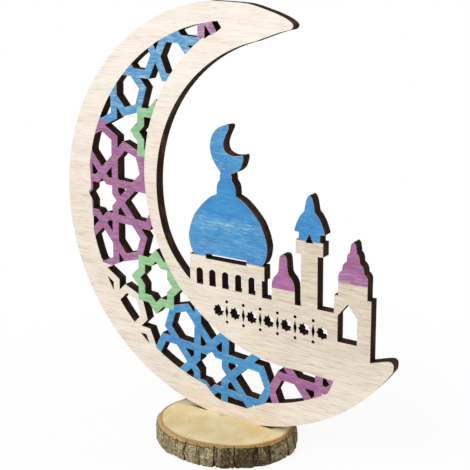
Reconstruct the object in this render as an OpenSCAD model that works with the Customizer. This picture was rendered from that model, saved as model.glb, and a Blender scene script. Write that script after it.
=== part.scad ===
// Crescent table ornament: a laser-cut plywood crescent with a rosette lattice and a
// mosque skyline, painted by hand and stood in a slot across a slice of a branch.
// Millimetres, +Z up, front towards -Y. The origin lies on the slice's underside, below the
// middle of the plywood's thickness.

/* [Crescent] */
// Radius of the crescent's round outer edge
outer_r = 95; // [90:1:100]
// Width of the crescent's body, from its round edge to its mouth
body_w = 54.7; // [53:0.1:57]
// How far the mouth's centre lies right of the crescent's centre
mouth_right = 29; // [27:0.5:31]
// How far the mouth's centre lies above the crescent's centre
mouth_up = 11; // [9:0.5:13]
// Length of the lower horn beyond the gatehouse's wall
low_horn_l = 10.6; // [9:0.1:11.4]

/* [Plywood] */
// Thickness of the plywood's middle ply
core_t = 3.8; // [2.6:0.1:5]
// Thickness of each face veneer
veneer_t = 0.6; // [0.4:0.1:0.9]

/* [Lattice window] */
// Width of the rim round the outside of the window
rim_w = 10.1; // [9:0.1:12]
// How far the outer rim's centre lies right of the crescent's centre
window_right = 2.9; // [2:0.1:4]
// How far the outer rim's centre lies above the crescent's centre
window_up = 1.9; // [1:0.1:3]
// Width of the band between the window and the mouth
band_w = 7.5; // [6.5:0.1:8.5]
// How far the inner rim's centre lies right of the crescent's centre
inner_right = 29.7; // [28.5:0.1:31]
// How far the inner rim's centre lies above the crescent's centre
inner_up = 14.9; // [13.5:0.1:16]
// Width of the rim at the far left, where the window is cut straight
flat_rim_w = 14.6; // [13:0.1:16]

/* [Lattice pattern] */
// Width of one repeat of the pattern
cell_w = 64.67; // [60:0.5:70]
// Height of one repeat of the pattern
cell_h = 70.46; // [66:0.5:75]
// How far the column of small stars lies left of the mouth
star_gap = 0.9; // [0:0.1:3]
// How far the middle between the two small stars lies above the crescent's centre
star_mid_up = 0.25; // [-2:0.05:3]
// Width of the straps that form the rosettes
strap_w = 3.7; // [3:0.1:4.4]
// Width of the straps that form the small stars between rosettes
star_strap_w = 4; // [3.4:0.1:4.8]
// Narrowest gap that is cut in the lattice
least_gap = 1; // [0.7:0.1:1.3]

/* [Prayer hall] */
// How far the skyline's floor lies below the crescent's centre
floor_drop = 31.7; // [30:0.1:33]
// How far the hall's left wall lies left of the crescent's centre
hall_left = 22.5; // [21:0.1:24]
// Width of the hall under its cornice
hall_w = 40.1; // [38.5:0.1:41]
// Height of the hall's wall
hall_h = 14.4; // [13:0.1:16]
// How far the wall steps in below the cornice at its right end
cornice_step = 1.3; // [0.6:0.1:2]
// Height of the cornice at the hall's right end
cornice_h = 6.5; // [5:0.1:8]
// Number of arched windows in the hall
arch_count = 5; // [3:1:5]
// Width of an arched window
arch_w = 3.65; // [3:0.05:5]
// Height of an arched window
arch_h = 7.9; // [6:0.1:9]
// Distance from one arched window to the next
arch_pitch = 7.05; // [6.5:0.05:7.3]
// Distance from the hall's left wall to the first window's middle
arch_start = 5.4; // [5:0.1:6]
// Height of the window sills above the floor
sill_h = 0.6; // [0.4:0.1:1.5]

/* [Main dome] */
// Width of the dome at its widest
dome_w = 41.8; // [40:0.1:43]
// Height of the dome
dome_h = 29.7; // [27:0.1:32]
// How far the dome's middle lies left of the crescent's centre
dome_left = 1.7; // [1:0.1:2.4]
// Length of the slit under the dome
dome_slit_w = 21.8; // [16:0.1:26]
// Height of the slit under the dome
dome_slit_h = 2.4; // [1.6:0.1:3]
// How far the slit reaches down into the hall's wall
dome_slit_dip = 1.1; // [0.8:0.1:1.4]
// How far the slit's middle lies left of the dome's middle
dome_slit_left = 0.8; // [0:0.1:1.6]
// Width of the finial's neck
neck_w = 10; // [9:0.1:11.5]
// Height of the finial's neck
neck_h = 9.7; // [8:0.1:11]
// Height of the crescent finial
finial_h = 21.1; // [19:0.1:23]

/* [Turret] */
// How far the turret's middle lies right of the crescent's centre
turret_right = 27.1; // [26.5:0.1:27.5]
// Width of the turret
turret_w = 11.6; // [10.5:0.1:12]
// Height of the turret's wall above the floor
turret_wall_h = 5.9; // [4.5:0.1:7]
// Height of the turret's dome
turret_dome_h = 15.5; // [14:0.1:17]

/* [Minaret] */
// How far the minaret's middle lies right of the crescent's centre
minaret_right = 39.9; // [39.5:0.1:40.3]
// Width of the minaret's shaft
shaft_w = 8; // [7:0.1:9]
// Height of the minaret's shaft
shaft_h = 23.3; // [21:0.1:25]
// Width of the balcony
balcony_w = 13.1; // [12:0.1:13.6]
// Height of the balcony
balcony_h = 6.1; // [5:0.1:7]
// Width of the cap across its eaves
cap_w = 14.5; // [13.5:0.1:15]
// Height of the cap
cap_h = 19.8; // [18:0.1:21.5]
// Width of the pointed hatch at the foot of the cap
hatch_w = 3.8; // [3:0.1:4.4]
// Height of the pointed hatch
hatch_h = 4; // [3:0.1:5]
// How far the hatch reaches down into the balcony
hatch_dip = 0.8; // [0.4:0.1:1.2]

/* [Gatehouse] */
// How far the gatehouse's left wall lies right of the crescent's centre
gate_right = 51.8; // [51:0.1:52.5]
// Width of the gatehouse
gate_w = 17.1; // [16:0.1:17.6]
// Height of the gatehouse's wall above the floor
gate_h = 8.2; // [7:0.1:9.5]
// How far the gatehouse's right wall runs down below the floor
gate_foot = 18.5; // [17.5:0.1:19.5]
// Width of the drum under the gatehouse's dome
drum_w = 13.4; // [12.5:0.1:14]
// Height of the drum
drum_h = 5.8; // [5:0.1:7]
// Height of the gatehouse's tiered dome
gate_dome_h = 18.2; // [16.5:0.1:20]
// Width of the pointed doorway
door_w = 9.1; // [8:0.1:10]
// Height of the doorway's straight sides
door_side_h = 11.8; // [10:0.1:13]
// Height of the doorway's point above its straight sides
door_point_h = 5.6; // [4.5:0.1:6.5]
// How far the doorway's sill lies below the floor
door_drop = 12.5; // [11.5:0.1:13.5]
// Distance from the gatehouse's left wall to the doorway
door_inset = 1.8; // [1.2:0.1:2.6]

/* [Pierced frieze] */
// Number of stars in the frieze
frieze_count = 7; // [4:1:7]
// Side of the two squares that make up a star
frieze_side = 4.3; // [3:0.1:4.8]
// Distance from one star to the next
frieze_pitch = 8.9; // [8.5:0.1:9.2]
// How far the first star lies left of the crescent's centre
frieze_left = 7; // [6:0.1:8]
// How far the frieze's middle line lies below the floor
frieze_drop = 10.3; // [9:0.1:11.5]
// Width of the lozenge between two stars
lozenge_w = 1.7; // [1.2:0.1:2]
// Height of the lozenge between two stars
lozenge_h = 6.6; // [5:0.1:8]
// Diameter of the round holes above and below each lozenge
frieze_hole_d = 1.5; // [1:0.1:1.8]
// Gap between a lozenge and the round holes at its ends
frieze_gap = 0.8; // [0.6:0.1:1.4]

/* [Base slice] */
// Mean radius of the branch slice
slice_r = 29.15; // [28:0.05:33]
// How far the slice's middle lies right of the origin
slice_right = 0.8; // [0:0.1:2]
// How far the slice's middle lies in front of the plywood's middle
slice_forward = 5.6; // [3:0.1:7]
// Thickness of the branch slice
slice_t = 10; // [9:0.1:14]
// Thickness of the bark
bark_t = 2.4; // [1.6:0.1:2.8]
// How far the bark bulges at mid height
bark_bulge = 0.6; // [0.2:0.1:1]
// How far the bark's foot stands out beyond its top edge
bark_flare = 0.9; // [0:0.1:1.4]
// Depth of the furrows in the bark
furrow_depth = 0.5; // [0.2:0.05:0.7]
// Width of the chamfer round the bark's top edge
bark_chamfer = 0.5; // [0.3:0.1:0.8]

/* [Joint between crescent and slice] */
// How far the crescent's centre stands right of the slice's centre
crescent_right = 3; // [2:0.1:3.4]
// Width of the tongue under the crescent
tongue_w = 28.4; // [24:0.2:28.6]
// How deep the tongue reaches into the slice
tongue_h = 6; // [4:0.1:7]
// How far the crescent's edge dips below the slice's top
arc_dip = 1.1; // [1:0.05:1.4]
// Clearance between each end of the slot and what stands in it
slot_end_gap = 0.4; // [0.2:0.05:0.8]
// Play between the plywood and each side of the slot
slot_play = 0.1; // [0.05:0.01:0.2]
// Clearance under the tongue
slot_floor_gap = 0.1; // [0.05:0.01:0.2]

/* [Paint] */
// Thickness of the paint
paint_t = 0.12; // [0.08:0.01:0.2]
// Bare margin between the paint and a cut edge
paint_margin = 0.1; // [0.05:0.01:0.3]
// Narrowest stroke that the brush leaves
least_stroke = 0.3; // [0.1:0.05:0.5]
// How far left of the crescent's centre the paint changes near the window's upper end
tip_paint_left = 14.3; // [10:0.1:18]

/* [Hidden] */

// Overrun of cuts past the face they open through
overrun = 1;
// Tilt of the pattern, anticlockwise in degrees
cell_tilt = -4.2;
// Sideways lean of the pattern, as a share of height
cell_lean_share = -0.026;

ply_t = core_t + 2 * veneer_t;
front_y = -ply_t / 2;
centre_up = slice_t + outer_r - arc_dip;
mouth_r = outer_r + mouth_right - body_w;
window_r = outer_r - rim_w;
window_inner_r = mouth_r + band_w;
window_left = outer_r - flat_rim_w;
star_left = mouth_r - mouth_right + star_gap;
floor_up = -floor_drop;
hall_top = floor_up + hall_h;
dome_top = hall_top + dome_h;
neck_top = dome_top + neck_h;
turret_wall_top = floor_up + turret_wall_h;
shaft_top = floor_up + shaft_h;
balcony_top = shaft_top + balcony_h;
gate_top = floor_up + gate_h;
drum_top = gate_top + drum_h;
gate_end = gate_right + gate_w;
gate_mid = gate_right + gate_w / 2;
gate_foot_up = floor_up - gate_foot;
// The slot is as long as the tongue, or as the arc that dips into it, with a gap at each end
arc_chord = 2 * sqrt(arc_dip * (2 * outer_r - arc_dip));
slot_l = max(tongue_w, arc_chord) + 2 * slot_end_gap;

// Place of the column of small stars between two rosettes, and the angle from one point of
// an eight-pointed star to the next
star_column_share = 0.5;
point_step = 45;
// Rosette radii as shares of a repeat: crossings of the inner star, tip of a petal and
// outer end of a petal's side; then the tips of the small star
cross_share = 0.1732;
petal_tip_share = 0.4874;
petal_side_share = 0.4251;
small_star_share = 0.1882;

// Half outlines, from the foot up: [half width, height] as shares of each piece
dome_shares = [
    [0.8, 0], [0.88, 0.02], [0.935, 0.075], [0.983, 0.177], [1, 0.294], [0.978, 0.378], [0.937, 0.478],
    [0.86, 0.605], [0.79, 0.679], [0.684, 0.766], [0.545, 0.863], [0.4, 0.945], [0.24, 1]
];
neck_shares = [
    [1, 0.03], [0.99, 0.23], [0.93, 0.44], [0.78, 0.58], [0.64, 0.68], [0.62, 0.85], [0.54, 1]
];
turret_shares = [
    [1, 0], [0.96, 0.17], [0.8, 0.31], [0.56, 0.41], [0.41, 0.51], [0.36, 0.7], [0.33, 0.86],
    [0.25, 0.96], [0.12, 1]
];
spire_shares = [
    [1, 0.215], [0.86, 0.36], [0.72, 0.47], [0.54, 0.57], [0.36, 0.64], [0.31, 0.72],
    [0.25, 0.84], [0.14, 0.95], [0, 1]
];
// The tiers of the gatehouse's dome, each a curve of its own
tier_shares = [
    [[1, 0], [1, 0.17], [0.9, 0.25], [0.76, 0.29]],
    [[0.74, 0.36], [0.66, 0.45], [0.45, 0.52]],
    [[0.43, 0.62], [0.36, 0.7], [0.24, 0.74]],
    [[0.22, 0.82], [0.15, 0.94], [0, 1]]
];
// The finial, from the neck up round the back to the upper tip, along the hollow to the
// lower tip and down to the neck again, as shares of its height
finial_back_shares = [
    [-0.13, 0.01], [-0.23, 0.13], [-0.33, 0.29], [-0.38, 0.49], [-0.345, 0.7], [-0.25, 0.86],
    [-0.11, 0.96], [0.04, 1], [0.1, 0.99]
];
finial_hollow_shares = [
    [0.095, 0.93], [0.01, 0.77], [-0.045, 0.61], [-0.015, 0.47], [0.09, 0.4], [0.2, 0.377],
    [0.32, 0.386], [0.43, 0.41]
];
finial_front_shares = [
    [0.445, 0.36], [0.4, 0.2], [0.31, 0.08], [0.15, 0]
];
// The upper horn as shares of the radius: its underside from inside the mouth, round the
// blunt tip and back along its top to a point outside the round edge
horn_shares = [
    [0.04, 0.787], [0.085, 0.8035], [0.1244, 0.819], [0.163, 0.833], [0.201, 0.846], [0.239, 0.859],
    [0.276, 0.87], [0.311, 0.8785], [0.324, 0.881], [0.333, 0.8865], [0.3385, 0.895],
    [0.337, 0.9035], [0.327, 0.9135], [0.3055, 0.9262], [0.276, 0.9388], [0.239, 0.952],
    [0.202, 0.963], [0.165, 0.974], [0.127, 0.983], [0.088, 0.988], [0.015, 0.9925], [-0.1, 0.9975],
    [-0.16, 1.002]
];
// The lower horn's top and blunt tip, from the gatehouse's wall to a point outside the round
// edge, as shares of the horn's length
low_horn_shares = [
    [0, -0.03], [0.22, 0.04], [0.425, 0.11], [0.67, 0.185], [0.8, 0.215], [0.9, 0.205], [0.97, 0.15],
    [1, 0.06], [1, -0.06], [0.985, -0.2], [1, -0.35]
];
// The lattice's lowest petals reach past the window's round rim, as shares of the radius
bulge_shares = [
    [-0.176, -0.838], [-0.137, -0.879], [-0.105, -0.905], [-0.068, -0.916], [0.079, -0.918],
    [0.211, -0.851], [0.211, -0.76], [-0.176, -0.76]
];
// Where the pattern bites past the rim: its last straps at the upper end, one star tip at the
// left and two slivers below it
bite_shares = [
    [
        [-0.119, 0.83], [-0.09, 0.848], [-0.075, 0.85], [-0.052, 0.862], [-0.025, 0.881], [-0.033, 0.895],
        [-0.06, 0.89], [-0.125, 0.845]
    ],
    [[-0.842, 0.075], [-0.866, 0.043], [-0.842, 0.01]],
    [[-0.773, -0.385], [-0.69, -0.4], [-0.705, -0.49], [-0.725, -0.477]],
    [[-0.576, -0.652], [-0.5, -0.63], [-0.475, -0.735], [-0.494, -0.724]]
];
// The gap at the window's upper end, past which no strap follows
last_gap_shares = [[-0.0774, 0.908], [-0.0453, 0.92], [-0.02, 0.8806], [-0.05, 0.858]];
// Two nicks at the inner rim that are too small to cut, so the straps stay whole there
nick_shares = [
    [[-0.508, 0.265], [-0.486, 0.263], [-0.489, 0.208], [-0.5, 0.214]],
    [[-0.528, 0.116], [-0.491, 0.153], [-0.493, 0.112], [-0.519, 0.115]]
];
// The mouth's edge leaves its round shape near the hall and runs straighter down to it
mouth_foot_shares = [
    [-0.39, -0.102], [-0.369, -0.152], [-0.334, -0.21], [-0.29, -0.264], [-0.236, -0.316],
    [-0.1, -0.42], [-0.3, -0.36], [-0.44, -0.12]
];
// The window's two blunt ends and its flat lower rim, as shares of the radius
upper_end_shares = [[-0.046, 0.912], [-0.024, 0.879], [-0.005, 0.851], [0.3, 0.851], [0.3, 0.98]];
lower_end_shares = [
    [0.29, -0.649], [0.548, -0.659], [0.53, -0.708], [0.5, -0.76], [0.8, -0.76], [0.8, -0.5], [0.29, -0.5]
];
// The branch's radius every 15 degrees from the right, anticlockwise seen from above
slice_shares = [
    1.110, 1.123, 1.094, 1.038, 0.979, 0.933, 0.905, 0.896, 0.912, 0.947, 1.002, 1.063,
    1.110, 1.126, 1.097, 1.041, 0.981, 0.933, 0.903, 0.893, 0.909, 0.945, 1.000, 1.060
];
// The foot of the minaret's cap: its width, and the heights where its eaves start and end
cap_foot_share = 0.7;
eaves_low_share = 0.17;
eaves_high_share = 0.18;
// Stretches of the lattice in each colour, from [u, v] to [u, v] in repeats of the pattern
blue_stretch_shares = [[[-1, 0.53], [2, 2]], [[0.5, -2], [1.5, -0.5]]];
purple_stretch_shares = [[[-1, -0.47], [0.6, 0.53]], [[1.5, -2], [3, 0]]];
slice_step = 360 / len(slice_shares);
bark_points = 96;
// Heights of the bark's outline rings, as shares of the thickness
bark_level_shares = [0, 0.12, 0.45, 0.8];

function reversed(pts) = [for (i = [len(pts) - 1:-1:0]) pts[i]];
function mirrored(half) = concat(half, [for (p = reversed(half)) [-p.x, p.y]]);
function raised(pts, z) = [for (p = pts) [p.x, p.y + z]];
function fitted(shares, w, h) = [for (p = shares) [p.x * w, p.y * h]];
// Point at share t of the way from b to c, on the smooth curve that runs a, b, c, d
function along(a, b, c, d, t) =
    b + t / 2 * ((c - a) + t * ((2 * a - 5 * b + 4 * c - d) + t * (3 * b - 3 * c + d - a)));
function smooth(pts, steps = 3) = concat(
    [
        for (i = [0:len(pts) - 2], k = [0:steps - 1])
            along(pts[max(i - 1, 0)], pts[i], pts[i + 1], pts[min(i + 2, len(pts) - 1)], k / steps)
    ],
    [pts[len(pts) - 1]]
);

// Height of the crescent's outer edge at a distance right of its centre
function outer_top(x) = sqrt(pow(outer_r, 2) - x * x);

// Point of the pattern at [u, v] repeats from the first rosette's centre
function cell(p) =
    let (v = p.y * cell_h, u = (p.x - star_column_share) * cell_w + cell_lean_share * v)
    [
        u * cos(cell_tilt) - v * sin(cell_tilt) - star_left,
        u * sin(cell_tilt) + v * cos(cell_tilt) + star_mid_up
    ];
// Points round one rosette, from its first wedge outwards
half_side = sqrt(0.5);
star_dip = cos(point_step) / cos(point_step / 2);
cross = [cross_share, 0];
crotch = cross_share * [1 + half_side, half_side];
side = [petal_side_share, half_side * cross_share];
petal_tip = [petal_tip_share, 0];
petal = [cross, crotch, side, petal_tip, [side.x, -side.y], [crotch.x, -crotch.y]];
function turned(p, a) = [p.x * cos(a) - p.y * sin(a), p.x * sin(a) + p.y * cos(a)];
// A star of eight points that crosses itself at its dips
function eight_star(r) = [
    for (a = [0:point_step:360 - point_step])
        each [turned([r, 0], a), turned([r * star_dip, 0], a + point_step / 2)]
];

window_centre = [window_right, window_up];
inner_centre = [inner_right, inner_up];
function near_window(p) =
    let (reach = cell_h / 4)
    norm(p - window_centre) < window_r + reach && norm(p - inner_centre) > window_inner_r - reach;

// A strap of width w along a closed run of points, given in repeats from a rosette's centre
module strap(pts, w, i, j) {
    placed = [for (p = pts) cell([i, j] + p)];
    difference() {
        offset(delta = w / 2) polygon(placed);
        offset(delta = -w / 2) polygon(placed);
    }
}

// Rosettes: an inner star ringed by eight petals
module rosettes() {
    for (i = [0:2], j = [-1:1]) {
        if (near_window(cell([i, j]))) strap(eight_star(cross_share), strap_w, i, j);
        for (a = [0:point_step:360 - point_step])
            if (near_window(cell([i, j] + turned(side, a))))
                strap([for (p = petal) turned(p, a)], strap_w, i, j);
    }
}

module small_stars() {
    for (v = [-0.5, 0.5]) strap(eight_star(small_star_share), star_strap_w, star_column_share, v);
}

module lattice() {
    difference() {
        rosettes();
        polygon(fitted(last_gap_shares, outer_r, outer_r));
    }
    small_stars();
    for (nick = nick_shares) polygon(fitted(nick, outer_r, outer_r));
}

module window() {
    difference() {
        intersection() {
            translate(window_centre) circle(r = window_r, $fn = 240);
            translate([-window_left, -outer_r]) square([2 * outer_r, 2 * outer_r]);
        }
        translate(inner_centre) circle(r = window_inner_r, $fn = 240);
        polygon(fitted(upper_end_shares, outer_r, outer_r));
        polygon(fitted(lower_end_shares, outer_r, outer_r));
    }
    polygon(fitted(bulge_shares, outer_r, outer_r));
    for (bite = bite_shares) polygon(fitted(bite, outer_r, outer_r));
}

// The gaps between the straps, without slivers too narrow to cut
module gaps() {
    offset(delta = least_gap / 2) offset(delta = -least_gap / 2) difference() {
        window();
        lattice();
    }
}

// What is cut away to the right of the crescent, round its two horns
module open_side() {
    low_horn = [
        for (p = smooth(fitted(low_horn_shares, low_horn_l, low_horn_l))) p + [gate_end, gate_foot_up]
    ];
    polygon(concat(
        [[horn_shares[0].x * outer_r, mouth_up]],
        smooth(fitted(horn_shares, outer_r, outer_r), 2),
        [[outer_r + overrun, outer_r + overrun], [outer_r + overrun, low_horn[len(low_horn) - 1].y]],
        reversed(low_horn),
        [[gate_end, mouth_up]]
    ));
}

// The crescent with its band below the floor
module crescent() {
    difference() {
        circle(r = outer_r, $fn = 240);
        difference() {
            translate([mouth_right, mouth_up]) circle(r = mouth_r, $fn = 180);
            translate([-hall_left, -outer_r]) square([hall_left + gate_end, outer_r - floor_drop]);
            polygon(smooth(fitted(mouth_foot_shares, outer_r, outer_r)));
        }
        open_side();
    }
}

// The dome with its neck and finial, on the hall's cornice, as one outline
module main_dome() {
    dome = smooth(fitted(dome_shares, dome_w / 2, dome_h));
    neck = raised(smooth(fitted(neck_shares, neck_w / 2, neck_h)), dome_h);
    right = concat(dome, neck);
    finial = concat(
        reversed(smooth(fitted(finial_front_shares, finial_h, finial_h))),
        reversed(smooth(fitted(finial_hollow_shares, finial_h, finial_h))),
        reversed(smooth(fitted(finial_back_shares, finial_h, finial_h)))
    );
    left = [for (p = reversed(right)) [-p.x, p.y]];
    translate([-dome_left, hall_top]) polygon(concat(right, raised(finial, dome_h + neck_h), left));
}

module hall() {
    translate([-hall_left, floor_up - overrun]) square([hall_w - cornice_step, hall_h + overrun]);
    translate([-hall_left, hall_top - cornice_h]) square([hall_w, cornice_h]);
}

module turret() {
    translate([turret_right - turret_w / 2, floor_up - overrun]) square([turret_w, turret_wall_h + overrun]);
    translate([turret_right, turret_wall_top])
        polygon(mirrored(smooth(fitted(turret_shares, turret_w / 2, turret_dome_h))));
}

module minaret() {
    translate([minaret_right, 0]) {
        translate([-shaft_w / 2, floor_up - overrun]) square([shaft_w, shaft_h + 2 * overrun]);
        translate([-balcony_w / 2, shaft_top]) square([balcony_w, balcony_h]);
        translate([0, balcony_top]) {
            translate([-cap_foot_share * cap_w / 2, -overrun])
                square([cap_foot_share * cap_w, spire_shares[0].y * cap_h + overrun]);
            polygon(mirrored(concat(
                fitted([[cap_foot_share, eaves_low_share], [1, eaves_high_share]], cap_w / 2, cap_h),
                smooth(fitted(spire_shares, cap_w / 2, cap_h))
            )));
        }
    }
}

module gatehouse() {
    translate([gate_right, floor_up - overrun]) square([gate_w, gate_h + overrun]);
    translate([gate_mid - drum_w / 2, gate_top - overrun]) square([drum_w, drum_h + overrun]);
    translate([gate_mid, drum_top])
        polygon(mirrored([for (tier = tier_shares) each smooth(fitted(tier, drum_w / 2, gate_dome_h))]));
}

module arch() {
    translate([-arch_w / 2, 0]) square([arch_w, arch_h - arch_w / 2]);
    translate([0, arch_h - arch_w / 2]) circle(d = arch_w, $fn = 32);
}

module doorway() {
    polygon([
        [0, 0], [door_w, 0], [door_w, door_side_h], [door_w / 2, door_side_h + door_point_h], [0, door_side_h]
    ]);
}

// Stars of two crossed squares, with a lozenge and two round holes between each pair
module frieze() {
    for (i = [0:frieze_count - 1]) {
        translate([i * frieze_pitch, 0]) for (a = [0, 45]) rotate(a) square(frieze_side, center = true);
        if (i < frieze_count - 1) translate([(i + 0.5) * frieze_pitch, 0]) {
            polygon([[lozenge_w / 2, 0], [0, lozenge_h / 2], [-lozenge_w / 2, 0], [0, -lozenge_h / 2]]);
            for (side = [-1, 1])
                translate([0, side * (lozenge_h / 2 + frieze_gap + frieze_hole_d / 2)])
                    circle(d = frieze_hole_d, $fn = 24);
        }
    }
}

module piercings() {
    for (i = [0:arch_count - 1])
        translate([arch_start - hall_left + i * arch_pitch, floor_up + sill_h]) arch();
    translate([-dome_left - dome_slit_left - dome_slit_w / 2, hall_top - dome_slit_dip])
        square([dome_slit_w, dome_slit_h]);
    translate([minaret_right - hatch_w / 2, balcony_top - hatch_dip])
        polygon([[0, 0], [hatch_w, 0], [hatch_w / 2, hatch_h]]);
    translate([gate_right + door_inset, floor_up - door_drop]) doorway();
    translate([-frieze_left, floor_up - frieze_drop]) frieze();
}

module tongue() {
    translate([-tongue_w / 2, -outer_r - tongue_h + arc_dip])
        square([tongue_w, tongue_h - arc_dip + outer_r - outer_top(tongue_w / 2) + overrun]);
}

module plate() {
    difference() {
        union() {
            crescent();
            main_dome();
            hall();
            turret();
            minaret();
            gatehouse();
            tongue();
        }
        gaps();
        piercings();
    }
}

// Stands a flat outline up, with its front face at y and its thickness behind it
module stood(y, t) {
    translate([crescent_right, y + t, centre_up]) rotate([90, 0, 0]) linear_extrude(t) children();
}

module crescent_core() {
    color("tan") stood(front_y + veneer_t, core_t) plate();
}

module crescent_front_veneer() {
    color("blanchedalmond") stood(front_y, veneer_t) plate();
}

module crescent_back_veneer() {
    color("bisque") stood(front_y + veneer_t + core_t, veneer_t) plate();
}

// Paint over what two outlines share, short of the first one's edges and of its slivers
module coat() {
    stood(front_y - paint_t, paint_t) intersection() {
        offset(delta = least_stroke / 2) offset(delta = -paint_margin - least_stroke / 2) children(0);
        children(1);
    }
}

module above(x, z) {
    translate([x, z]) square([2 * outer_r, 2 * outer_r]);
}

module dome_paint() {
    color("steelblue") coat() {
        difference() {
            main_dome();
            piercings();
        }
        above(-outer_r, hall_top);
    }
}

module minaret_cap_paint() {
    color("steelblue") coat() {
        difference() {
            minaret();
            piercings();
        }
        above(-outer_r, balcony_top);
    }
}

module turret_dome_paint() {
    color("mediumorchid") coat() {
        turret();
        above(-outer_r, turret_wall_top);
    }
}

module gatehouse_dome_paint() {
    color("mediumorchid") coat() {
        gatehouse();
        above(-outer_r, drum_top);
    }
}

// Stretches of the pattern, each from one of its places [u, v] to another
module stretches(shares) {
    for (s = shares)
        polygon([cell(s[0]), cell([s[1].x, s[0].y]), cell(s[1]), cell([s[0].x, s[1].y])]);
}

module painted_straps() {
    intersection() {
        window();
        lattice();
    }
}

module lattice_blue_paint() {
    color("steelblue") coat() {
        painted_straps();
        difference() {
            stretches(blue_stretch_shares);
            small_stars();
            above(-tip_paint_left, 0);
        }
    }
}

module lattice_purple_paint() {
    color("mediumorchid") coat() {
        painted_straps();
        difference() {
            union() {
                stretches(purple_stretch_shares);
                above(-tip_paint_left, outer_r / 2);
            }
            small_stars();
        }
    }
}

module lattice_green_paint() {
    color("lightgreen") coat() {
        painted_straps();
        small_stars();
    }
}

// Radius of the branch at an angle, smooth between the measured shares
function branch_r(a) =
    let (n = len(slice_shares), i = floor(a / slice_step), s = slice_shares)
    slice_r * along(s[(i + n - 1) % n], s[i % n], s[(i + 1) % n], s[(i + 2) % n], a / slice_step - i);
// Furrows that wander a little from ring to ring
function furrow(a, level) =
    furrow_depth * (sin(11 * a + 25 * level) + sin(17 * a - 40 * level) + sin(29 * a + 15 * level)) / 3;
function ring(radius_at, z) = [
    for (i = [0:bark_points - 1])
        let (a = i * 360 / bark_points, r = radius_at(a))
        [slice_right + r * cos(a), r * sin(a) - slice_forward, z]
];
wood_r = function(a) branch_r(a) - bark_t;

module slice_wood() {
    color("khaki") difference() {
        linear_extrude(slice_t) polygon([for (p = ring(wood_r, 0)) [p.x, p.y]]);
        translate([
            crescent_right - slot_l / 2, -ply_t / 2 - slot_play, slice_t - tongue_h - slot_floor_gap
        ])
            cube([slot_l, ply_t + 2 * slot_play, tongue_h + slot_floor_gap + overrun]);
    }
}

// Bark: rings stacked from the foot up, over the chamfered top edge and down the wood again
module slice_bark() {
    levels = len(bark_level_shares);
    rings = concat(
        [
            for (i = [0:levels - 1])
                let (s = bark_level_shares[i], swell = bark_flare * (1 - s) + bark_bulge * sin(180 * s))
                ring(function(a) branch_r(a) + swell + furrow(a, i), s * slice_t)
        ],
        [
            ring(function(a) branch_r(a) + furrow(a, levels), slice_t - bark_chamfer),
            ring(function(a) branch_r(a) - bark_chamfer, slice_t),
            ring(wood_r, slice_t),
            ring(wood_r, 0)
        ]
    );
    n = bark_points;
    m = len(rings);
    color("saddlebrown") polyhedron(
        [for (r = rings) each r],
        [
            for (k = [0:m - 1], i = [0:n - 1])
                let (next = (i + 1) % n, a = k * n + i, b = k * n + next)
                let (c = (k + 1) % m * n + next, d = (k + 1) % m * n + i)
                each [[a, d, c], [a, c, b]]
        ]
    );
}

crescent_core();
crescent_front_veneer();
crescent_back_veneer();
dome_paint();
minaret_cap_paint();
turret_dome_paint();
gatehouse_dome_paint();
lattice_blue_paint();
lattice_purple_paint();
lattice_green_paint();
slice_wood();
slice_bark();
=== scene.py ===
import math

import bpy
import numpy as np
from mathutils import Matrix, Vector


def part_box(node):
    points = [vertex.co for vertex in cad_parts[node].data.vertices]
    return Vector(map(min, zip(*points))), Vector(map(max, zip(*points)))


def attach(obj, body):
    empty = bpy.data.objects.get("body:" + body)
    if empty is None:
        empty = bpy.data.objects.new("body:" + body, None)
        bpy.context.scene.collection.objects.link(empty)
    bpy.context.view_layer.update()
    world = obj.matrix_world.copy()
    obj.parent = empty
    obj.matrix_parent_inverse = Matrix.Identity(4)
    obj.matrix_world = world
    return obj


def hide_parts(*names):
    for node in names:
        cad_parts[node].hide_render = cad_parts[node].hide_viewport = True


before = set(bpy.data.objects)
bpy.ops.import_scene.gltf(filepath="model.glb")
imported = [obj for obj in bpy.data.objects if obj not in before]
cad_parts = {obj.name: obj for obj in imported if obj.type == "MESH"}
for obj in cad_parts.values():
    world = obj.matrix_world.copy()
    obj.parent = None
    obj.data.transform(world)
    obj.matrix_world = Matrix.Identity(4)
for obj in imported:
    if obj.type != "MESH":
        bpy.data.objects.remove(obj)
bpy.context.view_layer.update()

# The camera: it sees the ornament from its front right, from a little above its middle,
# through a short telephoto lens, with the horizon tipped by one degree.
camera_place = Vector((0.2307, -0.3348, 0.21595))
camera_yaw = math.radians(34.11)
camera_pitch = math.radians(16.29)
camera_roll = math.radians(-1.03)

level_right = Vector((math.cos(camera_yaw), math.sin(camera_yaw), 0))
behind = Vector((
    math.sin(camera_yaw) * math.cos(camera_pitch),
    -math.cos(camera_yaw) * math.cos(camera_pitch),
    math.sin(camera_pitch),
))
level_up = behind.cross(level_right)
rightward = math.cos(camera_roll) * level_right + math.sin(camera_roll) * level_up
upward = math.cos(camera_roll) * level_up - math.sin(camera_roll) * level_right
turned = Matrix((rightward, upward, behind)).transposed().to_4x4()

lens_data = bpy.data.cameras.new("camera")
lens_data.lens = 73.16
lens_data.sensor_width = 36
lens_data.shift_y = 0.001
lens_data.clip_start = 0.01
lens_data.clip_end = 60
camera = bpy.data.objects.new("camera", lens_data)
camera.matrix_world = Matrix.Translation(camera_place) @ turned
bpy.context.scene.collection.objects.link(camera)
bpy.context.scene.camera = camera

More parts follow.
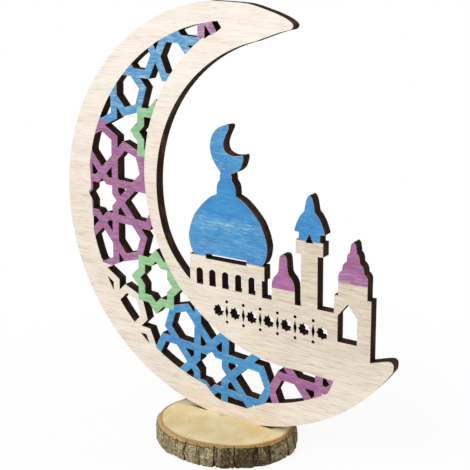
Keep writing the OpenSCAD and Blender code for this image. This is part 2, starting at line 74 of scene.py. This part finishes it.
# The plywood's veneers: the two faces of the sheet are pale basswood, glued to the core,
# sanded and left bare. Their grain runs level, in fine fibres and short pores, and the
# laser has charred their cut edges brown.
front_light = "F9EFE2"
front_deep = "D8CBB6"
back_light = "F0E4CF"
back_deep = "CDB996"
fibre_brown = "BDAC94"
sanded_white = "FBF5ED"
pore_brown = "A49077"
veneer_soot = "382A21"
veneer_scorch = "684937"
soot_shine = 0.06
towers_middle = (56.0, 0.0, 80.0)


class Wire:
    """One output of a shader node. Sums, differences and products written with it add
    Math nodes to its material."""

    def __init__(self, tree, socket=None):
        self.tree = tree
        self.socket = socket

    def node(self, kind, settings=None, values=None, out=0):
        """Adds a node, makes its settings first, then fills its sockets with numbers,
        colours or other wires, and gives back one output."""
        made = self.tree.nodes.new("ShaderNode" + kind)
        for name, setting in (settings or {}).items():
            setattr(made, name, setting)
        for name, value in (values or {}).items():
            if isinstance(value, Wire):
                self.tree.links.new(value.socket, made.inputs[name])
            else:
                made.inputs[name].default_value = value
        return Wire(self.tree, made.outputs[out])

    def reckoned(self, operation, first, second=0.0):
        """What a Math node makes of two values."""
        return self.node("Math", {"operation": operation}, {0: first, 1: second})

    def __add__(self, other):
        return self.reckoned("ADD", self, other)

    def __radd__(self, other):
        return self.reckoned("ADD", other, self)

    def __sub__(self, other):
        return self.reckoned("SUBTRACT", self, other)

    def __rsub__(self, other):
        return self.reckoned("SUBTRACT", other, self)

    def __mul__(self, other):
        return self.reckoned("MULTIPLY", self, other)

    def __rmul__(self, other):
        return self.reckoned("MULTIPLY", other, self)

    def size(self):
        """This value without its sign."""
        return self.reckoned("ABSOLUTE", self)

    def part(self, axis):
        """The X, Y or Z of this vector."""
        return self.node("SeparateXYZ", {}, {0: self}, out=axis)

    def step(self, low, high, start=0.0, end=1.0):
        """Runs from start to end, smoothly, as this value runs from low to high."""
        return self.node(
            "MapRange", {"interpolation_type": "SMOOTHSTEP"},
            {"Value": self, 1: low, 2: high, 3: start, 4: end},
        )

    def noise(self, pitch, detail=2.0, rough=0.5, drift=0.0):
        """Noise between 0 and 1 on these coordinates, with pitch giving the length of
        one patch of it along X, Y and Z. drift moves the pattern away."""
        where = self.node(
            "VectorMath", {"operation": "MULTIPLY_ADD"},
            {0: self, 1: [1 / p for p in pitch], 2: (drift, drift * 0.7, drift * 1.3)},
        )
        return self.node(
            "TexNoise", {"noise_dimensions": "3D", "normalize": True},
            {"Vector": where, "Scale": 1.0, "Detail": detail, "Roughness": rough},
        )

    def mixed(self, first, second):
        """The first colour where this value is 0, the second where it is 1."""
        return self.node(
            "Mix", {"data_type": "RGBA", "clamp_factor": True},
            {"Factor": self, 6: first, 7: second}, out=2,
        )


def colour(code):
    """A colour given as six hexadecimal digits, as the renderer's linear light."""
    parts = [int(code[i:i + 2], 16) / 255 for i in (0, 2, 4)]
    return [p / 12.92 if p < 0.04045 else ((p + 0.055) / 1.055) ** 2.4 for p in parts] + [1]


def laid_over(tone, *tints):
    """A tone with other colours laid over it in turn, each as strongly as the wire that
    comes before it says."""
    for strength, tint in tints:
        tone = strength.mixed(tone, colour(tint))
    return tone


def new_finish(name):
    """A new material with its surface shader, and its coordinates in millimetres."""
    made = bpy.data.materials.new(name)
    made.use_nodes = True
    place = Wire(made.node_tree).node("TexCoord", out="Object")
    mm = place.node("VectorMath", {"operation": "SCALE"}, {0: place, "Scale": 1000.0})
    shader = made.node_tree.nodes["Principled BSDF"]
    return made, mm, shader


def put(shader, **sockets):
    """Joins wires to the shader's sockets, and sets its plain values."""
    for name, value in sockets.items():
        target = shader.inputs[name.replace("_", " ")]
        if isinstance(value, Wire):
            value.tree.links.new(value.socket, target)
        else:
            target.default_value = value


def bumped(mm, height, distance):
    """The surface's normal, tilted by a relief of height times distance millimetres."""
    return mm.node(
        "Bump", {}, {"Strength": 1.0, "Distance": distance / 1000, "Height": height}
    )


def cut_edge(mm):
    """1 on the walls that the laser cut, 0 on the sheet's two faces."""
    forward = mm.node("NewGeometry", out="True Normal").part("Y")
    return 1 - forward.size().step(0.4, 0.6)


def charred(mm, dark, brown):
    """The laser's cut: soot with browner patches, and fine lines across the edge where
    the beam's pulses passed."""
    patches = mm.noise((11, 5, 11), 2.0, 0.6, drift=31.0).step(0.5, 0.75)
    pulses = mm.noise((0.3, 8, 0.3), 1.0, 0.5, drift=7.0)
    soot = (patches * 0.75 + pulses.step(0.4, 0.8) * 0.25).mixed(colour(dark), colour(brown))
    return soot, pulses


def sheet_tone(mm, drift):
    """0 where the veneer is palest, 1 where it is deepest: it deepens from the upper horn down
    to the middle, as painted light that is brightest at the top; it deepens most of all round
    the skyline's towers, and a little more in some broad bands of the grain."""
    height = mm.part("Z")
    away = mm.node(
        "VectorMath", {"operation": "DISTANCE"}, {0: mm, 1: towers_middle}, out="Value"
    )
    bands = mm.noise((60, 60, 5), 3.0, 0.55, drift)
    # Painted light: the sheet is paler towards the top.
    painted_top_light = height.step(192, 88, 0.0, 0.42)
    round_towers = away.step(66, 16, 0.0, 0.5) * height.step(28, 62, 0.3, 1.0)
    return painted_top_light + round_towers + bands.step(0.25, 0.75, -0.1, 0.2)


def veneer_finish(name, light, deep, drift):
    """Sanded veneer on the sheet's face, from its light to its deep tone, and soot on the
    walls that the laser cut. drift moves the grain along."""
    finish, mm, shader = new_finish(name)
    fibres = mm.noise((13, 60, 0.7), 3.0, 0.66, drift + 3)
    fine = mm.noise((8, 60, 0.38), 2.0, 0.55, drift + 5)
    pores = mm.noise((3.6, 60, 0.42), 1.0, 0.4, drift + 9).step(0.62, 0.78)
    tone = sheet_tone(mm, drift)
    face = laid_over(
        tone.mixed(colour(light), colour(deep)),
        (fibres.step(0.46, 0.66) * (0.24 + tone * 0.6), fibre_brown),
        (fine.step(0.5, 0.75) * 0.5, sanded_white),
        (pores * (0.2 + tone * 0.25), pore_brown),
    )
    grain = fibres * 0.6 + fine * 0.3 - pores * 0.5
    put(
        shader, Base_Color=face, Roughness=fibres * 0.14 + 0.6,
        Normal=bumped(mm, grain, 0.06), Specular_IOR_Level=0.3,
    )
    soot, pulses = charred(mm, veneer_soot, veneer_scorch)
    sooty = mm.node("BsdfPrincipled")
    put(
        sooty.socket.node, Base_Color=soot, Roughness=pulses * 0.1 + 0.85,
        Normal=bumped(mm, pulses, 0.06), Specular_IOR_Level=soot_shine,
    )
    both = mm.node(
        "MixShader", {}, {0: cut_edge(mm), 1: Wire(mm.tree, shader.outputs[0]), 2: sooty}
    )
    mm.tree.links.new(both.socket, mm.tree.nodes["Material Output"].inputs["Surface"])
    return finish


def dress(node, finish):
    """Gives a node of the frame one finish all over."""
    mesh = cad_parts[node].data
    mesh.materials.clear()
    mesh.materials.append(finish)


dress("crescent_front_veneer", veneer_finish("front_veneer", front_light, front_deep, 0.0))
dress("crescent_back_veneer", veneer_finish("back_veneer", back_light, back_deep, 57.0))

# The plywood's core: the sheet's middle ply shows only in its cut edges, where the laser
# has burnt it nearly black, with the beam's fine lines running from face to face.
core_soot = "2C211A"
core_scorch = "5E4234"
glue_black = "17120E"

core_finish, mm, shader = new_finish("charred_core")
soot, pulses = charred(mm, core_soot, core_scorch)
glue = mm.noise((3, 0.5, 3), 2.0, 0.5, drift=12.0)
put(
    shader, Base_Color=laid_over(soot, (glue.step(0.5, 0.8) * 0.3, glue_black)),
    Roughness=pulses * 0.1 + 0.85, Normal=bumped(mm, pulses + glue * 0.5, 0.08),
    Specular_IOR_Level=soot_shine,
)
dress("crescent_core", core_finish)

# The paint: the domes and the lattice have a thin coat of matt colour, laid on by hand
# and drawn out level with a flat brush, so that the pale fibres of the veneer show
# through in streaks. Each colour is given where it is full, thin and deep.
blue = ("2D8EC9", "A8CFDA", "1672B4")
purple = ("A56097", "CFAFC2", "85467A")
green = ("8FC68D", "CCE6C4", "70AA72")
scorched_rim = "4A3A33"


def paint_finish(name, full, thin, deep, drift, streaks, low, high):
    """Paint that is full in most places, thin over the veneer's fibres and deep in its
    grain. streaks is how much of the veneer shows through. Below the height low and above
    the height high, in millimetres, where these are given, the brush ran dry and the
    streaks are strongest."""
    finish, mm, shader = new_finish(name)
    fibres = mm.noise((4.2, 60, 0.42), 3.0, 0.65, drift)
    strokes = mm.noise((24, 60, 1.9), 2.0, 0.5, drift + 4)
    clouds = mm.noise((13, 60, 6), 2.0, 0.5, drift + 8)
    pores = mm.noise((1.7, 60, 0.42), 1.0, 0.5, drift + 12)
    brushed = mm.noise((5, 60, 0.95), 2.0, 0.6, drift + 16)
    dry = streaks
    height = mm.part("Z") + strokes * 7 - 3.5
    if low is not None:
        top_band = height.step(low + 1.5, low - 0.5) * height.step(low - 7, low - 3, 0.0, 0.26)
        dry = dry + height.step(low + 1.5, low - 1, 0.0, 0.22)
        dry = dry + top_band
    if high is not None:
        dry = dry + height.step(high - 4, high + 4, 0.0, streaks * 2.1)
    bare = fibres.step(0.45, 0.66) * dry * strokes.step(0.25, 0.7, 0.5, 1.0)
    bare = bare + pores.step(0.62, 0.74) * (0.16 + dry * 0.3)
    filled = fibres.step(0.48, 0.3) * 0.45
    face = laid_over(
        (clouds.step(0.3, 0.7) * 0.6 + filled).mixed(colour(full), colour(deep)),
        (bare * 0.75 + dry * 0.15, thin),
        (brushed.step(0.5, 0.72) * dry * 0.95, thin),
        (brushed.step(0.5, 0.3) * (streaks * 1.4), deep),
        (cut_edge(mm) * 0.6, scorched_rim),
    )
    put(
        shader, Base_Color=face, Roughness=0.5 + bare * 0.25,
        Normal=bumped(mm, fibres * 0.5 + strokes * 0.3, 0.06), Specular_IOR_Level=0.4,
    )
    return finish


# Each coat's node, name and colour, then its drift, streaks, low and high.
coats = (
    ("dome_paint", "dome_blue", blue, 11.0, 0.1, 105.0, 124.0),
    ("minaret_cap_paint", "minaret_blue", blue, 17.0, 0.16, None, None),
    ("lattice_blue_paint", "lattice_blue", blue, 23.0, 0.24, None, 148.0),
    ("turret_dome_paint", "turret_purple", purple, 29.0, 0.2, None, None),
    ("gatehouse_dome_paint", "gatehouse_purple", purple, 35.0, 0.17, 90.0, None),
    ("lattice_purple_paint", "lattice_purple", purple, 41.0, 0.32, None, 165.0),
    ("lattice_green_paint", "lattice_green", green, 47.0, 0.34, None, None),
)
for node, name, tones, drift, streaks, low, high in coats:
    dress(node, paint_finish(name, *tones, drift, streaks, low, high))

# The branch slice's wood: pale yellow sapwood, sawn across a young branch and sanded,
# with faint yearly rings round a pith that lies off its middle. A slot is sawn across the
# top, with a painted shadow at both of its ends, where the crescent's edge lifts off.
pith =(-3.0, -3.0, 0.0)
ring_pitch = 1.9
sapwood_light = "F1E2B9"
sapwood_deep = "E4CC90"
late_wood = "CFAF72"
ray_light = "F5EBCB"
smudge_tan = "D8B878"
pith_brown = "C09A62"
painted_shadow_brown = "2A1C10"
upright_wall_tan = "8A6A42"

wood_finish, mm, shader = new_finish("sapwood")
about = mm.node("VectorMath", {"operation": "SUBTRACT"}, {0: mm, 1: pith})
flat = about.node("VectorMath", {"operation": "MULTIPLY"}, {0: about, 1: (1, 1, 0)})
reach = flat.node("VectorMath", {"operation": "LENGTH"}, {0: flat}, out="Value")
turn = flat.reckoned("ARCTAN2", flat.part("Y"), flat.part("X"))
wander = mm.noise((14, 14, 30), 2.0, 0.5, drift=3.0)
years = (reach + wander * 9) * (1 / ring_pitch)
late = years.reckoned("SINE", years * (2 * math.pi)).step(0.2, 1.0)
uneven = mm.noise((11, 11, 30), 2.0, 0.5, drift=13.0)
smudges = mm.noise((2.2, 2.2, 30), 3.0, 0.6, drift=43.0)
spokes = mm.node("CombineXYZ", {}, {0: turn * 34, 1: reach * 0.12, 2: 0.0})
rays = spokes.noise((1, 1, 1), 2.0, 0.5)

# Painted shadow: dark streaks on the wood where the crescent's edge lifts off it, past the
# slot's ends.
along = mm.part("X")
across = mm.part("Y")
right_slot_end_shadow = along.step(16.5, 18.5) * along.step(26, 22.5) * across.step(1.6, 0.2)
left_slot_end_shadow = along.step(-11.6, -12.4) * along.step(-25, -16) * across.step(-0.9, -1.7)
slot_end_shadow = (right_slot_end_shadow + left_slot_end_shadow) * across.step(-3.2, -2.5) * (0.75 + smudges * 0.3)
facing_up = mm.node("NewGeometry", out="True Normal").part("Z").size()
sawn = 1 - facing_up.step(0.4, 0.6)
saw_marks = mm.noise((0.5, 40, 0.5), 2.0, 0.6, drift=21.0)
put(
    shader, Base_Color=laid_over(
        uneven.step(0.3, 0.7).mixed(colour(sapwood_light), colour(sapwood_deep)),
        (late * (0.01 + uneven * 0.09), late_wood),
        (rays.step(0.55, 0.8) * 0.22, ray_light),
        (smudges.step(0.5, 0.8) * 0.3, smudge_tan),
        (reach.step(3.0, 0.0, 0.0, 0.7), pith_brown),
        # The painted shadow at the slot's ends.
        (slot_end_shadow, painted_shadow_brown),
        # The upright walls, the slot's among them, are a darker tan.
        (sawn * 0.75, upright_wall_tan),
    ),
    Roughness=0.62 + rays * 0.15 + sawn * 0.15,
    Normal=bumped(mm, late * 0.4 + rays * 0.4 + saw_marks * (0.2 + sawn), 0.07),
    Specular_IOR_Level=0.35,
)
dress("slice_wood", wood_finish)

# The slice's bark: it grew on the wood, as a tan inner layer that the saw shows as a ring
# with a worn, sloping lip, and outside it an olive-grey crust, split by dark upright
# furrows that wander and fork, and by a few deep cracks.
slice_middle = Vector((0.0008, -0.0056, 0))
slice_radius_mm = 32
outline_steps = 96
around_steps = 1152
wall_steps = 52
lip_steps = 6
ring_steps = 7
furrow_count = 54
crack_depth_mm = 1.5
plate_height_mm = 0.3
grit_height_mm = 0.12
fine_height_mm = 0.06
least_relief_mm = 0.03

# Each crack's angle round the slice in degrees, its half width in millimetres, and its
# share of the deepest crack's depth.
cracks = (
    (-158, 0.7, 0.8), (-110, 0.5, 0.7), (-98, 1.0, 1.0), (-67, 0.8, 0.9), (-48, 0.6, 0.7),
    (-28, 0.5, 0.6), (1, 0.9, 0.9), (12, 0.6, 0.8), (58, 1.0, 1.0), (97, 0.7, 0.9),
    (133, 0.9, 1.0), (171, 0.8, 0.9),
)

bark_low, bark_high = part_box("slice_bark")
bark_height = bark_high.z - bark_low.z


def outline_of(node, level_share):
    """A node's radius from the slice's middle against its angle, at one share of the
    bark's height: the greatest that its corners there have in each of outline_steps
    equal steps, with straight lines between the steps."""
    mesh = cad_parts[node].data
    corners = np.empty(len(mesh.vertices) * 3)
    mesh.vertices.foreach_get("co", corners)
    x, y, z = corners.reshape(-1, 3).T
    x = x - slice_middle.x
    y = y - slice_middle.y
    kept = np.abs((z - bark_low.z) / bark_height - level_share) < 0.02
    step_turn = 2 * np.pi / outline_steps
    steps = np.round(np.arctan2(y[kept], x[kept]) / step_turn).astype(int) % outline_steps
    found = np.zeros(outline_steps)
    np.maximum.at(found, steps, np.hypot(x[kept], y[kept]))
    known = found > 0.8 * found.max()
    at = np.arange(outline_steps) * step_turn
    return lambda turn: np.interp(turn, at[known], found[known], period=2 * np.pi)


def value_noise(turn, height, cells_round, cells_up, seed):
    """Random numbers on a grid that closes round the branch, blended between the four
    nearest corners with weights 3t² - 2t³, which gives smooth hills between -1 and 1."""
    grid = np.random.default_rng(seed).uniform(-1, 1, (cells_round, cells_up + 2))
    a = np.mod(turn / (2 * np.pi), 1) * cells_round
    b = np.clip(height, 0, 1) * cells_up
    i = np.floor(a).astype(int)
    j = np.floor(b).astype(int)
    s = a - i
    t = b - j
    s = s * s * (3 - 2 * s)
    t = t * t * (3 - 2 * t)
    i = i % cells_round
    i_next = (i + 1) % cells_round
    near = grid[i, j] * (1 - s) + grid[i_next, j] * s
    far = grid[i, j + 1] * (1 - s) + grid[i_next, j + 1] * s
    return near * (1 - t) + far * t


def groove(turn, height, line, width, swing, start):
    """One upright groove, 1 along its middle and 0 beyond its width: its middle sways
    with height by two sines, its width by another, and its depth is one minus the square
    of the distance over the width, to the power 0.7."""
    middle = line + swing * (np.sin(5 * height + start) + 0.5 * np.sin(13 * height + 2 * start))
    away = np.abs(np.angle(np.exp(1j * (turn - middle))))
    reach = width * (0.7 + 0.3 * np.sin(4 * height + start))
    return np.clip(1 - (away / reach) ** 2, 0, 1) ** 0.7


def bark_relief(turn, height):
    """How far the crust lies under its skin, in millimetres, at an angle and a height
    share: the deepest of all the furrows and cracks there, with plates, grit and fine
    grit added as three noises, and nowhere less than least_relief_mm."""
    dice = np.random.default_rng(5)
    lines = np.arange(furrow_count) + dice.uniform(-0.42, 0.42, furrow_count)
    lines = lines * 2 * np.pi / furrow_count
    widths = dice.uniform(0.25, 0.8, furrow_count) / slice_radius_mm
    depths = dice.uniform(0.2, 1.0, furrow_count) ** 1.5
    swings = dice.uniform(0.2, 0.9, furrow_count) / slice_radius_mm
    starts = dice.uniform(0, 2 * np.pi, furrow_count)
    depth = np.zeros_like(turn)
    for line, width, deep, swing, start in zip(lines, widths, depths, swings, starts):
        depth = np.maximum(depth, deep * groove(turn, height, line, width, swing, start))
    for angle, width, deep in cracks:
        line = math.radians(angle)
        swing = 0.8 / slice_radius_mm * math.sin(3 * angle)
        cut = groove(turn, height, line, width / slice_radius_mm, swing, angle)
        depth = np.maximum(depth, crack_depth_mm * deep * cut)
    plates = np.abs(value_noise(turn, height, 84, 4, 11))
    grit = value_noise(turn, height, 260, 13, 12)
    fine = value_noise(turn, height, 700, 30, 13)
    laid_on = plate_height_mm * plates + grit_height_mm * grit + fine_height_mm * fine
    return np.maximum(depth + laid_on, least_relief_mm)


# The crust's wall runs from the foot up to the lip's lower edge, which lies at lip_low of
# the bark's height. Its skin is blended between the solid's outlines at five heights, and
# the relief and a worn foot are taken off it.
turns = np.linspace(0, 2 * np.pi, around_steps, endpoint=False)
column = turns[:, None]
level_shares = np.array((0, 0.12, 0.45, 0.8, 0.95))
rings = [outline_of("slice_bark", level_share) for level_share in level_shares]
wood_edge = outline_of("slice_wood", 1.0)(turns)[:, None]

lip_low = 0.88 + 0.06 * value_noise(turns, 0 * turns, 22, 1, 15)[:, None]
lip_low += 0.035 * value_noise(turns, 0 * turns, 96, 1, 16)[:, None]
lip_low -= 0.07 * np.clip(np.cos(column - math.radians(195)), 0, 1) ** 2
share = lip_low * np.linspace(0, 1, wall_steps)
relief = bark_relief(column + 0 * share, share) / 1000
skin = np.stack([ring(turns) for ring in rings], axis=1)
place = np.searchsorted(level_shares, share, side="right").clip(1, 4)
lower = level_shares[place - 1]
upper = level_shares[place]
blend = (share - lower) / (upper - lower)
near = np.take_along_axis(skin, place - 1, axis=1)
far = np.take_along_axis(skin, place, axis=1)
foot_wear = 0.3e-3 * np.clip(1 - share / 0.06, 0, 1) ** 2
crust = near + (far - near) * blend - relief - foot_wear

# The lip slopes inwards from the crust's top to the sawn ring, rounded over, with grit.
lip = np.linspace(0, 1, lip_steps + 1)[1:]
lip_share = lip_low + (1 - lip_low) * (0.75 * lip + 0.25 * lip ** 0.5)
lip_grit = 0.06e-3 * (1 + value_noise(column + 0 * lip, lip + 0 * lip_low, 300, 3, 17))
lip_reach = 1.15e-3 * (1 + 0.3 * value_noise(turns, 0 * turns, 40, 1, 18)[:, None])
lip_foot = crust[:, -1:]
lip_top = np.minimum(rings[4](turns)[:, None] - 0.8e-3, lip_foot - 0.2e-3)
lip_top = np.maximum(lip_top - 0.3 * lip_reach, wood_edge + 0.5e-3)
lip_radii = lip_foot + (lip_top - lip_foot) * (0.35 * lip + 0.65 * lip ** 2) - lip_grit

# The sawn rings above and below run on to the wood, the upper one a little uneven.
ring = np.linspace(0, 1, ring_steps + 1)[1:]
ring_edge = lip_radii[:, -1:]
foot_edge = crust[:, :1]
top_ring = ring_edge + (wood_edge - ring_edge) * ring
low_ring = foot_edge + (wood_edge - foot_edge) * ring[::-1]
ring_grit = 0.06e-3 * (1 + value_noise(column + 0 * ring, ring + 0 * wood_edge, 120, 4, 14))
level_top = bark_high.z - ring_grit
level_top[:, -1] = bark_high.z

# One grid, closed both ways: round the branch, and up the crust, over the lip, in to the
# wood, and back out along the underside. The attribute depth tells the material where a
# point lies. On the crust it is the relief in millimetres, on the lip it climbs by one
# from lip_code at the crust, and on the sawn rings by one from ring_code to the wood.
lip_code = 5
ring_code = 10
radii = np.hstack([crust, lip_radii, top_ring, low_ring])
heights = np.hstack([
    bark_low.z + share * bark_height,
    bark_low.z + lip_share * bark_height - 0.03e-3,
    level_top,
    np.full((around_steps, ring_steps), bark_low.z),
])
depth_in = np.hstack([
    relief * 1000,
    lip_code + lip + 0 * lip_radii,
    ring_code + ring + 0 * top_ring,
    ring_code + ring[::-1] + 0 * low_ring,
])
columns = radii.shape[1]
corners = np.stack([
    slice_middle.x + radii * np.cos(column),
    slice_middle.y + radii * np.sin(column),
    heights,
], axis=-1).reshape(-1, 3)
i, j = np.meshgrid(np.arange(around_steps), np.arange(columns), indexing="ij")
i_next = (i + 1) % around_steps
j_next = (j + 1) % columns
faces = np.stack([
    i * columns + j, i_next * columns + j, i_next * columns + j_next, i * columns + j_next
], axis=-1).reshape(-1, 4)
bark_mesh = bpy.data.meshes.new("branch_bark")
bark_mesh.from_pydata(corners.tolist(), [], faces.tolist())
bark_mesh.attributes.new("depth", "FLOAT", "POINT").data.foreach_set(
    "value", depth_in.ravel().astype(np.float32)
)
bark_mesh.polygons.foreach_set("use_smooth", np.ones(len(faces), bool))
bark = bpy.data.objects.new("branch_bark", bark_mesh)
bpy.context.scene.collection.objects.link(bark)

crust_dark = "40331F"
lichen_light = "AB9A73"
rust_dark = "5E4026"
rust_light = "A5835C"
flake_light = "DACFA6"
moss_green = "77704A"
speck_black_and_crack_shade = "1C150D"
band_brown = "33291D"
lip_shade = "4E361E"
lip_tan = "A37E4A"
lip_light = "BC9D68"
lip_speck = "76522D"
lip_flake = "D8BE8E"
lip_painted_shade = "6E4526"
lip_painted_light = "D3B588"
ring_tan = "BF9660"
ring_light = "E0C794"
ring_speck = "AE7D4C"

bark_finish, mm, shader = new_finish("bark")
depth = mm.node("Attribute", {"attribute_name": "depth"}, out="Fac")
on_lip = depth.step(lip_code - 0.4, lip_code + 0.2)
on_ring = depth.step(ring_code - 0.8, ring_code - 0.1)
up_lip = depth - lip_code
inward = depth - ring_code
coarse = mm.noise((2.1, 2.1, 3.2), 3.0, 0.62, drift=2.0)
flakes = mm.noise((0.85, 0.85, 1.2), 3.0, 0.7, drift=5.0)
grit = mm.noise((0.36, 0.36, 0.5), 2.0, 0.65, drift=9.0)
specks = mm.noise((0.8, 0.8, 1.2), 2.0, 0.6, drift=19.0)
broad = mm.noise((13, 13, 16), 2.0, 0.55, drift=27.0)
moss = mm.noise((6, 6, 6), 2.0, 0.5, drift=15.0)
rust = mm.noise((2.6, 2.6, 9), 2.0, 0.55, drift=33.0)
bands = mm.noise((3.4, 3.4, 24), 2.0, 0.5, drift=51.0)

# Painted light and shade: the crust is lighter at the left, where the window light falls,
# and darker to the right, lighter again at the far right and darkest at the front right.
# The broad noise on top adds patches of lichen.
sideways = mm.node(
    "VectorMath", {"operation": "DOT_PRODUCT"}, {0: mm, 1: (0.83, 0.56, 0.0)}, out="Value"
)
lichen_and_painted_light = sideways.step(1, -13, 0.1, 0.92) + sideways.step(17, 27, 0.0, 0.5)
lichen_and_painted_light = lichen_and_painted_light - sideways.step(0, 4) * sideways.step(15, 9) * 0.3
lichen_and_painted_light = lichen_and_painted_light + broad.step(0.3, 0.7, -0.2, 0.2)
mottled = lichen_and_painted_light + coarse.step(0.32, 0.68, -0.3, 0.3)
rusted = (rust.step(0.5, 0.7) * 0.55).mixed(
    mottled.mixed(colour(crust_dark), colour(lichen_light)),
    lichen_and_painted_light.mixed(colour(rust_dark), colour(rust_light)),
)
crust_tone = laid_over(
    rusted,
    (flakes.step(0.5, 0.6) * (lichen_and_painted_light * 0.6 + 0.28), flake_light),
    (moss.step(0.48, 0.72) * 0.4, moss_green),
    (grit.step(0.49, 0.62) * coarse.step(0.64, 0.4, 0.55, 1.0), speck_black_and_crack_shade),
    (bands.step(0.5, 0.66) * 0.5, band_brown),
    # The furrows and cracks darken with their depth: the inner bark's own dark, and painted
    # shade.
    (depth.step(0.3, 0.95) * 0.85, speck_black_and_crack_shade),
)
lip_tone = laid_over(
    up_lip.step(0.0, 0.3).mixed(colour(lip_shade), colour(lip_tan)),
    (broad.step(0.35, 0.65) * 0.5, lip_light),
    (specks.step(0.45, 0.68) * 0.65, lip_speck),
    (flakes.step(0.55, 0.7) * 0.4, lip_flake),
    # Painted light and shade on the lip: darker at the right, lighter at the left, where the
    # window light falls.
    (sideways.step(22, 31) * 0.45, lip_painted_shade),
    (sideways.step(-12, -30) * 0.5, lip_painted_light),
)
ring_tone = laid_over(
    inward.step(0.4, 1.0).mixed(colour(ring_tan), colour(ring_light)),
    (specks.step(0.5, 0.8) * 0.4, ring_speck),
)
put(
    shader, Base_Color=on_lip.mixed(crust_tone, on_ring.mixed(lip_tone, ring_tone)),
    Roughness=0.9 - on_ring * 0.1,
    Normal=bumped(mm, flakes * 0.8 + grit * 0.6 + specks * 0.4, 0.25),
    Specular_IOR_Level=0.12,
)
bark_mesh.materials.append(bark_finish)
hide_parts("slice_bark")
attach(bark, "base_slice")

# The table and the light: a plain white table that runs out of sight, a bright room all
# round, and one broad window light from the front left, high up.
white = (1, 1, 1, 1)
table_white = (0.9, 0.9, 0.9, 1)
room_white = (0.6, 0.6, 0.6, 1)
table_reach = 14.0
shadow_near_mm = 45
shadow_far_mm = 220
window_side = Vector((-0.35, -0.8, 0.75))

table_mesh = bpy.data.meshes.new("table_top")
table_mesh.from_pydata(
    [(-table_reach, -table_reach, 0), (table_reach, -table_reach, 0),
     (table_reach, table_reach, 0), (-table_reach, table_reach, 0)], [], [(0, 1, 2, 3)]
)
table = bpy.data.objects.new("table_top", table_mesh)
bpy.context.scene.collection.objects.link(table)
table_finish, mm, shader = new_finish("white_table")
put(shader, Base_Color=table_white, Roughness=0.9, Specular_IOR_Level=0.0)
seen = mm.node("LightPath", out="Is Camera Ray")
away = mm.node("VectorMath", {"operation": "LENGTH"}, {0: mm}, out="Value")
glow = mm.node("Emission", {}, {"Color": white, "Strength": 1.0})
shown = mm.node("MixShader", {}, {
    0: seen * away.step(shadow_near_mm, shadow_far_mm, 0.92, 1.0),
    1: Wire(mm.tree, shader.outputs[0]),
    2: glow,
})
mm.tree.links.new(shown.socket, mm.tree.nodes["Material Output"].inputs["Surface"])
table_mesh.materials.append(table_finish)

room = bpy.data.worlds.new("room")
room.use_nodes = True
bpy.context.scene.world = room
air = Wire(room.node_tree)
looked_at = air.node("LightPath", out="Is Camera Ray")
glossy = air.node("LightPath", out="Is Glossy Ray")
through = air.node("LightPath", out="Is Transmission Ray")
direct = air.reckoned("MAXIMUM", looked_at, air.reckoned("MAXIMUM", glossy, through))
put(room.node_tree.nodes["Background"], Color=direct.mixed(room_white, white), Strength=1.0)

window_light = bpy.data.lights.new("window_light", "SUN")
window_light.energy = 1.6
window_light.angle = math.radians(35)
window = bpy.data.objects.new("window_light", window_light)
window.rotation_mode = "QUATERNION"
window.rotation_quaternion = window_side.to_track_quat("Z", "Y")
bpy.context.scene.collection.objects.link(window)

bpy.context.scene.view_settings.view_transform = "Standard"
